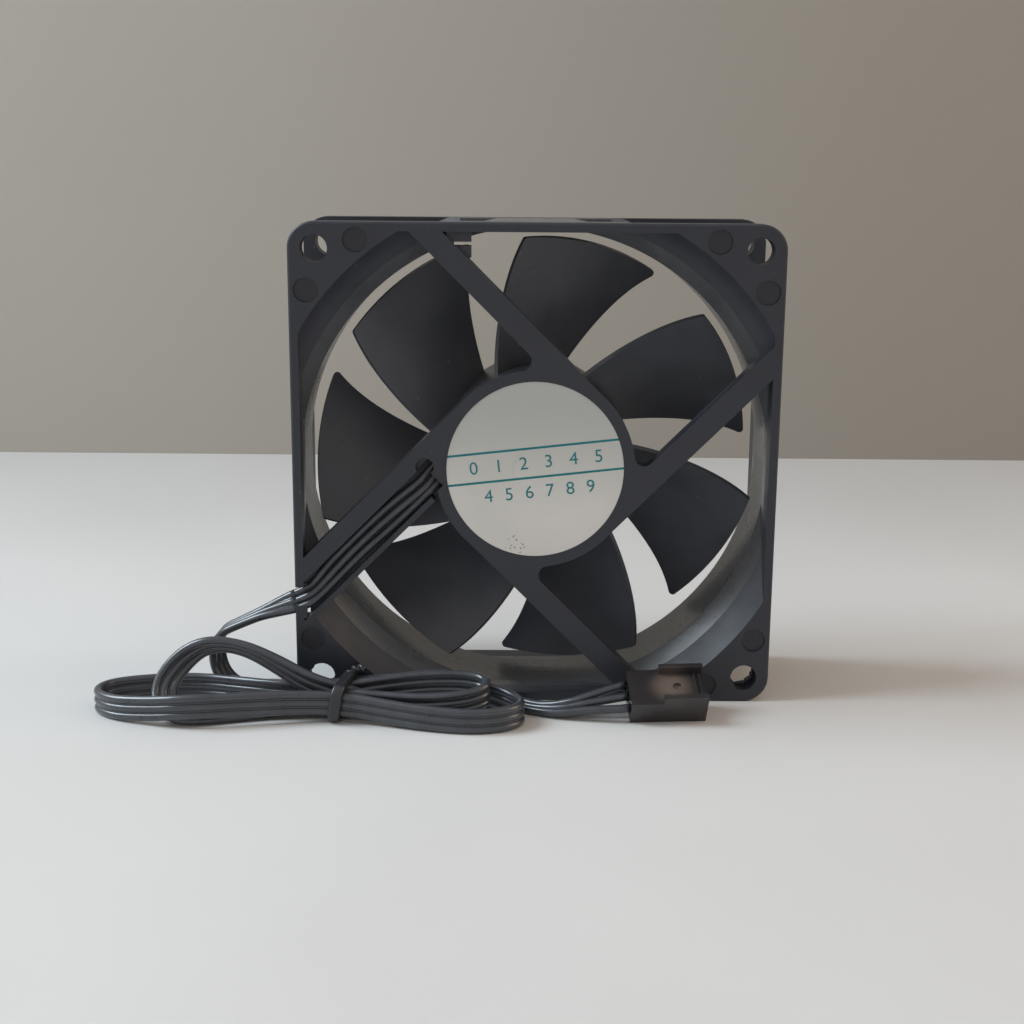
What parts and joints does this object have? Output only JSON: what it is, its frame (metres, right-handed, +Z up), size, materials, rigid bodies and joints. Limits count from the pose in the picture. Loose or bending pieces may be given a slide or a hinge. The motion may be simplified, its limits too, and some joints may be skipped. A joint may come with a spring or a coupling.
{
  "type": "case fan",
  "caption": "Square axial case fan with curved blades, pinwheel struts, a round motor base and a tied flat lead with a plug.",
  "frame": {"origin": "on the surface under the fan's frame, midway between its sides and between its two faces", "axes": "+X to the right seen from the strut side, +Y along the fan's axis from the strut side to the intake side, +Z up"},
  "size_m": [0.1132, 0.0424, 0.08],
  "materials": {
    "frame_plastic": "black, fine matte moulding",
    "impeller_plastic": "black, satin",
    "yoke_steel": "deep-drawn, plain",
    "magnet_ferrite": "dark grey bonded ferrite",
    "insert_brass": "turned",
    "shaft_steel": "ground",
    "washer_nylon": "natural nylon",
    "bearing_bronze": "sintered, oil filled",
    "seal_rubber": "black",
    "cap_plastic": "black",
    "label_foil": "silver-grey printed foil",
    "board_laminate": "green laminate",
    "chip_epoxy": "black epoxy",
    "capacitor_ceramic": "tan ceramic",
    "core_steel": "stacked laminations",
    "insulator_plastic": "black",
    "winding_copper": "enamelled copper wire",
    "pin_brass": "tinned",
    "lead_sleeve": "black insulation, slightly glossy",
    "tie_coating": "black coated wire",
    "connector_plastic": "black-brown nylon",
    "contact_brass": "tinned"
  },
  "bodies": {
    "housing": {"frame_motor_mount": "frame_plastic", "frame_strut_flange": "frame_plastic", "frame_duct": "frame_plastic", "frame_intake_flange": "frame_plastic", "bearing_sleeve": "bearing_bronze", "oil_seal_ring": "seal_rubber", "thrust_washer": "washer_nylon", "bearing_cap": "cap_plastic", "motor_label": "label_foil", "circuit_board": "board_laminate", "driver_chip": "chip_epoxy", "board_resistor": "chip_epoxy", "board_capacitor": "capacitor_ceramic", "stator_core": "core_steel", "insulator_lead_side": "insulator_plastic", "insulator_intake_side": "insulator_plastic", "winding_1": "winding_copper", "winding_2": "winding_copper", "winding_3": "winding_copper", "winding_4": "winding_copper", "winding_pins": "pin_brass", "lead_1": "lead_sleeve", "lead_2": "lead_sleeve", "lead_3": "lead_sleeve", "lead_drop": "lead_sleeve", "lead_hank": "lead_sleeve", "lead_tail": "lead_sleeve", "hank_tie": "tie_coating", "connector_housing": "connector_plastic", "connector_contacts": "contact_brass"},
    "rotor": {"impeller": "impeller_plastic", "rotor_yoke": "yoke_steel", "ring_magnet": "magnet_ferrite", "shaft_insert": "insert_brass", "shaft": "shaft_steel", "retaining_washer": "washer_nylon"}
  },
  "joints": [
    {"name": "impeller_spin", "type": "hinge", "parent": "housing", "child": "rotor", "pos_m": [0, 0, 0.04], "axis": [0, 1, 0], "continuous": true}
  ]
}
